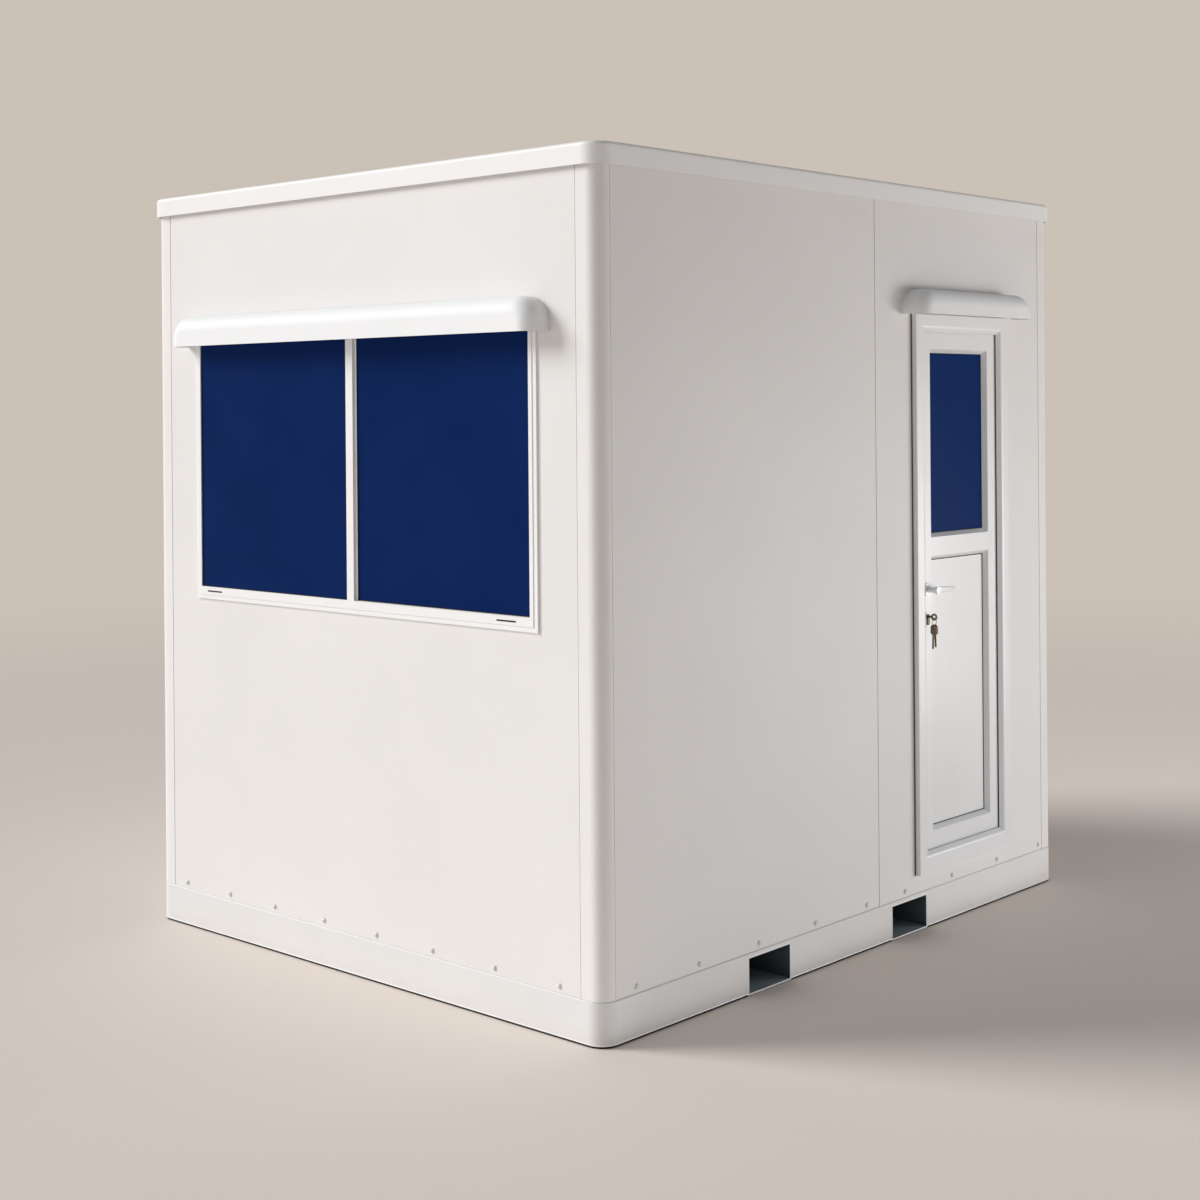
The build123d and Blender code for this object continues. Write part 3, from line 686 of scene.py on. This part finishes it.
def window_seals():
    """A rubber glazing seal round each pane, on its outer face, and black linings in the drain slots of the
    sill, painted shade in their recesses.
    """
    for side in ("left", "right"):
        pane_low, pane_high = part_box(f"window_glass_{side}")
        sash_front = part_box(f"window_sash_{side}")[0].y
        inset = GLAZING_SEAL_INSET

        def seal(shape):
            low = (pane_low.x + inset, sash_front + GLAZING_SEAL_SETBACK, pane_low.z + inset)
            high = (pane_high.x - inset, pane_low.y, pane_high.z - inset)
            frame_of_strips(shape, low, high, GLAZING_SEAL, through=Y_AXIS)

        piece_from(f"window_seal_{side}", seal, BLACK_RUBBER, "cabin")
    frame_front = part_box("window_frame")[0].y

    # Black linings in the drain slots: painted shade in their recesses
    def drain_slot_shade(shape):
        low, high = DRAIN_LEVELS
        mouth, back = DRAIN_DEPTHS
        for start, end in DRAINS:
            strip(
                shape,
                (start * MM, frame_front + mouth * MM, low * MM),
                (end * MM, frame_front + back * MM, high * MM),
                ease=0.3 * MM,
            )

    piece_from("sill_drain_painted_shade", drain_slot_shade, BLACK_RUBBER, "cabin")


def door_seals():
    """The mastic between the door frame and the wall, dark brown on the latch side where it is partly
    painted shade of the gap there, the weather seal behind the frame's lip, and the glazing seals of the
    glass and the lower panel."""
    head_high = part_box("door_head")[1]
    threshold_low, threshold_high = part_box("door_threshold")
    wall_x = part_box("corner_post_front")[1].x

    # Dark brown on the latch side: partly a real joint, partly painted shade of the gap between frame and
    # wall
    def latch_joint(shape):
        strip(
            shape,
            (wall_x, threshold_low.y - FRAME_JOINT, threshold_low.z),
            (wall_x + FRAME_JOINT_PROUD, threshold_low.y, head_high.z),
            ease=0.8 * MM,
        )

    piece_from("latch_side_mastic_and_shade", latch_joint, BROWN_MASTIC_AND_GAP_SHADE, "cabin")

    def other_joints(shape):
        frame_end = threshold_high.y
        proud = wall_x + THIN_JOINT_PROUD
        under_frame = (
            (wall_x, threshold_low.y - FRAME_JOINT, threshold_low.z - THIN_JOINT),
            (proud, frame_end + THIN_JOINT, threshold_low.z),
        )
        hinge_side = (
            (wall_x, frame_end, threshold_low.z),
            (proud, frame_end + THIN_JOINT, head_high.z),
        )
        for low, high in (under_frame, hinge_side):
            strip(shape, low, high, ease=0.5 * MM)

    piece_from("door_frame_mastic", other_joints, GREY_MASTIC, "cabin")
    opening_start, opening_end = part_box("door_jamb_latch")[1].y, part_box("door_jamb_hinge")[0].y
    opening_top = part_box("door_head")[0].z

    def weather_seal(shape):
        lap = WEATHER_SEAL_LAP
        near_wall, off_wall = WEATHER_SEAL_FROM_WALL
        low = (wall_x + near_wall, opening_start - lap, threshold_high.z - lap)
        high = (wall_x + off_wall, opening_end + lap, opening_top + lap)
        frame_of_strips(shape, low, high, WEATHER_SEAL, through=X_AXIS)

    piece_from("door_weather_seal", weather_seal, BLACK_RUBBER, "cabin")
    for name in ("door_panel", "door_glass"):
        low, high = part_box(name)
        inset = PANEL_SEAL_INSET

        def seal(shape):
            frame_of_strips(
                shape,
                (high.x, low.y + inset, low.z + inset),
                (high.x + PANEL_SEAL_PROUD, high.y - inset, high.z - inset),
                PANEL_SEAL,
                through=X_AXIS,
                ease=0.4 * MM,
            )

        piece_from(f"{name}_seal", seal, BLACK_RUBBER, "door")


def camera():
    """The photograph's view: level but for a slight roll, with the horizon above the middle of the frame."""
    heading = math.radians(CAMERA_HEADING)
    roll = math.radians(CAMERA_ROLL)
    forward = Vector((-math.sin(heading), math.cos(heading), 0))
    right = Vector((math.cos(heading), math.sin(heading), 0))
    up = Vector((0, 0, 1))
    across = right * math.cos(roll) + up * math.sin(roll)
    above = up * math.cos(roll) - right * math.sin(roll)
    data = bpy.data.cameras.new("photo_camera")
    data.sensor_width = CAMERA_SENSOR_MM
    data.lens = CAMERA_FOCAL_PIXELS / PHOTO_PIXELS * CAMERA_SENSOR_MM
    data.shift_y = (CAMERA_HORIZON_PIXEL - PHOTO_PIXELS / 2) / PHOTO_PIXELS
    data.clip_end = CAMERA_CLIP_END
    seen = bpy.data.objects.new("photo_camera", data)
    turn = Matrix((across, above, -forward)).transposed().to_4x4()
    seen.matrix_world = Matrix.Translation(CAMERA_PLACE) @ turn
    bpy.context.scene.collection.objects.link(seen)
    bpy.context.scene.camera = seen


def floor():
    """A pale studio floor that fades into the background far out and keeps the cabin's shadow."""
    half = FLOOR_HALF_WIDTH
    mesh = bpy.data.meshes.new("studio_floor")
    corners = [(-half, -half, 0), (half, -half, 0), (half, half, 0), (-half, half, 0)]
    mesh.from_pydata(corners, [], [(0, 1, 2, 3)])
    ground = bpy.data.objects.new("studio_floor", mesh)
    bpy.context.scene.collection.objects.link(ground)
    material, tree, shader = start_finish("pale_studio_floor", FLOOR_COLOUR, 0.75, specular=0.3)
    place = add_node(tree, "ShaderNodeTexCoord").outputs["Object"]
    reach = add_node(tree, "ShaderNodeVectorMath", settings={"operation": "LENGTH"}, links={0: place})
    far = add_node(
        tree,
        "ShaderNodeMapRange",
        settings={"interpolation_type": "SMOOTHSTEP"},
        inputs={"From Min": FLOOR_CLEAR_RADIUS, "From Max": FLOOR_FADE_RADIUS, "To Min": 0, "To Max": 1},
        links={"Value": reach.outputs["Value"]},
    )
    seen = add_node(tree, "ShaderNodeLightPath").outputs["Is Camera Ray"]
    fade = add_node(
        tree,
        "ShaderNodeMath",
        settings={"operation": "MULTIPLY"},
        links={0: far.outputs["Result"], 1: seen},
    )
    clear = add_node(tree, "ShaderNodeBsdfTransparent")
    mix = add_node(
        tree,
        "ShaderNodeMixShader",
        links={0: fade.outputs[0], 1: shader.outputs[0], 2: clear.outputs[0]},
    )
    tree.links.new(mix.outputs[0], tree.nodes["Material Output"].inputs["Surface"])
    mesh.materials.append(material)


def world():
    """Even pale light from all round, and a plain pale background where it is seen or mirrored."""
    scene_world = bpy.data.worlds.new("studio_world")
    scene_world.use_nodes = True
    tree = scene_world.node_tree
    lit = tree.nodes["Background"]
    lit.inputs["Color"].default_value = linear(AMBIENT_COLOUR)
    lit.inputs["Strength"].default_value = AMBIENT_STRENGTH
    seen = add_node(tree, "ShaderNodeBackground", inputs={"Color": linear(SKY_COLOUR), "Strength": 1.0})
    path = add_node(tree, "ShaderNodeLightPath").outputs
    either = add_node(
        tree,
        "ShaderNodeMath",
        settings={"operation": "MAXIMUM"},
        links={0: path["Is Camera Ray"], 1: path["Is Glossy Ray"]},
    )
    any_ray = add_node(
        tree,
        "ShaderNodeMath",
        settings={"operation": "MAXIMUM"},
        links={0: either.outputs[0], 1: path["Is Transmission Ray"]},
    )
    mix = add_node(
        tree,
        "ShaderNodeMixShader",
        links={0: any_ray.outputs[0], 1: lit.outputs[0], 2: seen.outputs[0]},
    )
    tree.links.new(mix.outputs[0], tree.nodes["World Output"].inputs["Surface"])
    bpy.context.scene.world = scene_world


def soft_light(name, place, target, size, watts):
    """A large soft white lamp that looks at a point."""
    data = bpy.data.lights.new(name, "AREA")
    data.shape = "RECTANGLE"
    data.size, data.size_y = size
    data.energy = watts
    lamp = bpy.data.objects.new(name, data)
    aim = (Vector(target) - Vector(place)).to_track_quat("-Z", "Y").to_matrix().to_4x4()
    lamp.matrix_world = Matrix.Translation(place) @ aim
    lamp.visible_camera = False
    bpy.context.scene.collection.objects.link(lamp)


def sunlight(name, travel, strength, softness_deg):
    """An even key light of parallel rays, with soft shadow edges."""
    data = bpy.data.lights.new(name, "SUN")
    data.energy = strength
    data.angle = math.radians(softness_deg)
    lamp = bpy.data.objects.new(name, data)
    lamp.matrix_world = Vector(travel).to_track_quat("-Z", "Y").to_matrix().to_4x4()
    bpy.context.scene.collection.objects.link(lamp)


def lights():
    """A soft key on the window wall from the left, a fill in front of it, a low wide fill on the door wall,
    one near its far end, and a card on the floor that lights its foot."""
    sunlight("key", travel=(0.712, 0.515, -0.477), strength=2.7, softness_deg=28)
    # Each with its place, its target, its size and its watts
    soft_light("window_wall_fill", (-0.4, -7.5, 1.4), (0.0, -1.25, 1.2), (4.0, 2.0), 64)
    soft_light("door_wall_fill", (6.5, 4.5, 0.6), (1.05, -0.3, 0.6), (5.0, 1.2), 78)
    soft_light("far_fill", (3.8, 3.2, 1.0), (1.05, 0.9, 1.3), (1.8, 1.8), 36)
    soft_light("floor_card", (2.35, 0.0, 0.01), (2.35, 0.0, 2.0), (2.5, 3.4), 8)


camera()
rivets()
base_trim()
window_seals()
door_seals()
floor()
world()
lights()

bpy.context.scene.view_settings.view_transform = "Standard"
